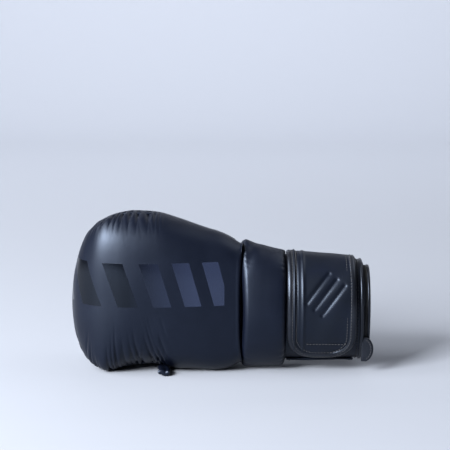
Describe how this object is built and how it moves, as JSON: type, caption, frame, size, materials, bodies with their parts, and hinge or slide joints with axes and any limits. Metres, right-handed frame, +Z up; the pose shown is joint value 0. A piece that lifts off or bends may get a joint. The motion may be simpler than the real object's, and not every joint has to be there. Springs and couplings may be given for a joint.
{
  "type": "mma glove",
  "caption": "Left-hand padded grappling glove with open palm, bound finger holes, thumb sleeve, padded cuff and hook-and-loop wrist strap.",
  "frame": {"origin": "bottom centre of the whole glove's box, on the surface that its little-finger side lies on", "axes": "+Z up to the thumb side, +X from the knuckles to the wrist, -Y the back of the hand, +Y the palm"},
  "size_m": [0.287, 0.104, 0.15],
  "materials": {
    "cover_leather": "matte black coated leather with a fine soft grain",
    "strap_leather": "black coated leather, a little glossier than the cover",
    "trim_leather": "thin satin black binding leather, folded and stitched",
    "lining_cloth": "black fine-ribbed polyester lining",
    "pad_foam": "dark closed-cell foam",
    "hook_tape": "black hook tape",
    "loop_pile": "black brushed loop pile",
    "thread": "black bonded sewing thread"
  },
  "bodies": {
    "hand": {"knuckle_cover": "cover_leather", "knuckle_foam": "pad_foam", "front_roll_foam": "pad_foam", "hand_lining": "lining_cloth", "little_finger_side_panel": "cover_leather", "index_finger_side_panel": "cover_leather", "thumb_side_panel": "cover_leather", "inner_face_panel": "cover_leather", "little_finger_binding": "trim_leather", "ring_finger_binding": "trim_leather", "middle_finger_binding": "trim_leather", "index_finger_binding": "trim_leather", "little_ring_divider": "cover_leather", "ring_middle_divider": "cover_leather", "middle_index_divider": "cover_leather", "divider_bartacks": "thread", "palm_band": "cover_leather", "palm_band_hem": "trim_leather", "palm_edge_binding": "trim_leather"},
    "thumb": {"thumb_sleeve": "cover_leather", "thumb_lining": "lining_cloth", "thumb_hem": "trim_leather", "thumb_tip_pad": "cover_leather", "thumb_base_pad": "cover_leather", "thumb_edge_piping": "trim_leather"},
    "cuff": {"cuff_cover": "cover_leather", "cuff_foam": "pad_foam", "cuff_lining": "lining_cloth", "cuff_end_binding": "trim_leather", "wrist_panel_foam": "pad_foam", "wrist_panel_cover": "cover_leather", "strap_wrist_wrap": "strap_leather", "loop_patch": "loop_pile"},
    "strap": {"hook_patch": "hook_tape", "strap_core": "pad_foam", "strap_leather": "strap_leather", "strap_binding": "trim_leather"},
    "tab": {"pull_tab": "trim_leather"}
  },
  "joints": [
    {"name": "wrist_bend", "type": "hinge", "parent": "hand", "child": "cuff", "pos_m": [0.018, -0.024, 0.061], "axis": [0, 0, 1], "range_deg": [-12, 15]},
    {"name": "thumb_swing", "type": "hinge", "parent": "hand", "child": "thumb", "pos_m": [0.006, 0.024, 0.11], "axis": [0, 0, -1], "range_deg": [0, 30]},
    {"name": "strap_open", "type": "hinge", "parent": "cuff", "child": "strap", "pos_m": [0.06, -0.016, 0.1155], "axis": [-0.9921, 0, 0.1256], "range_deg": [0, 120]},
    {"name": "tab_flip", "type": "hinge", "parent": "cuff", "child": "tab", "pos_m": [0.1345, -0.0315, 0.023], "axis": [0, 0, 1], "range_deg": [-60, 10]}
  ]
}
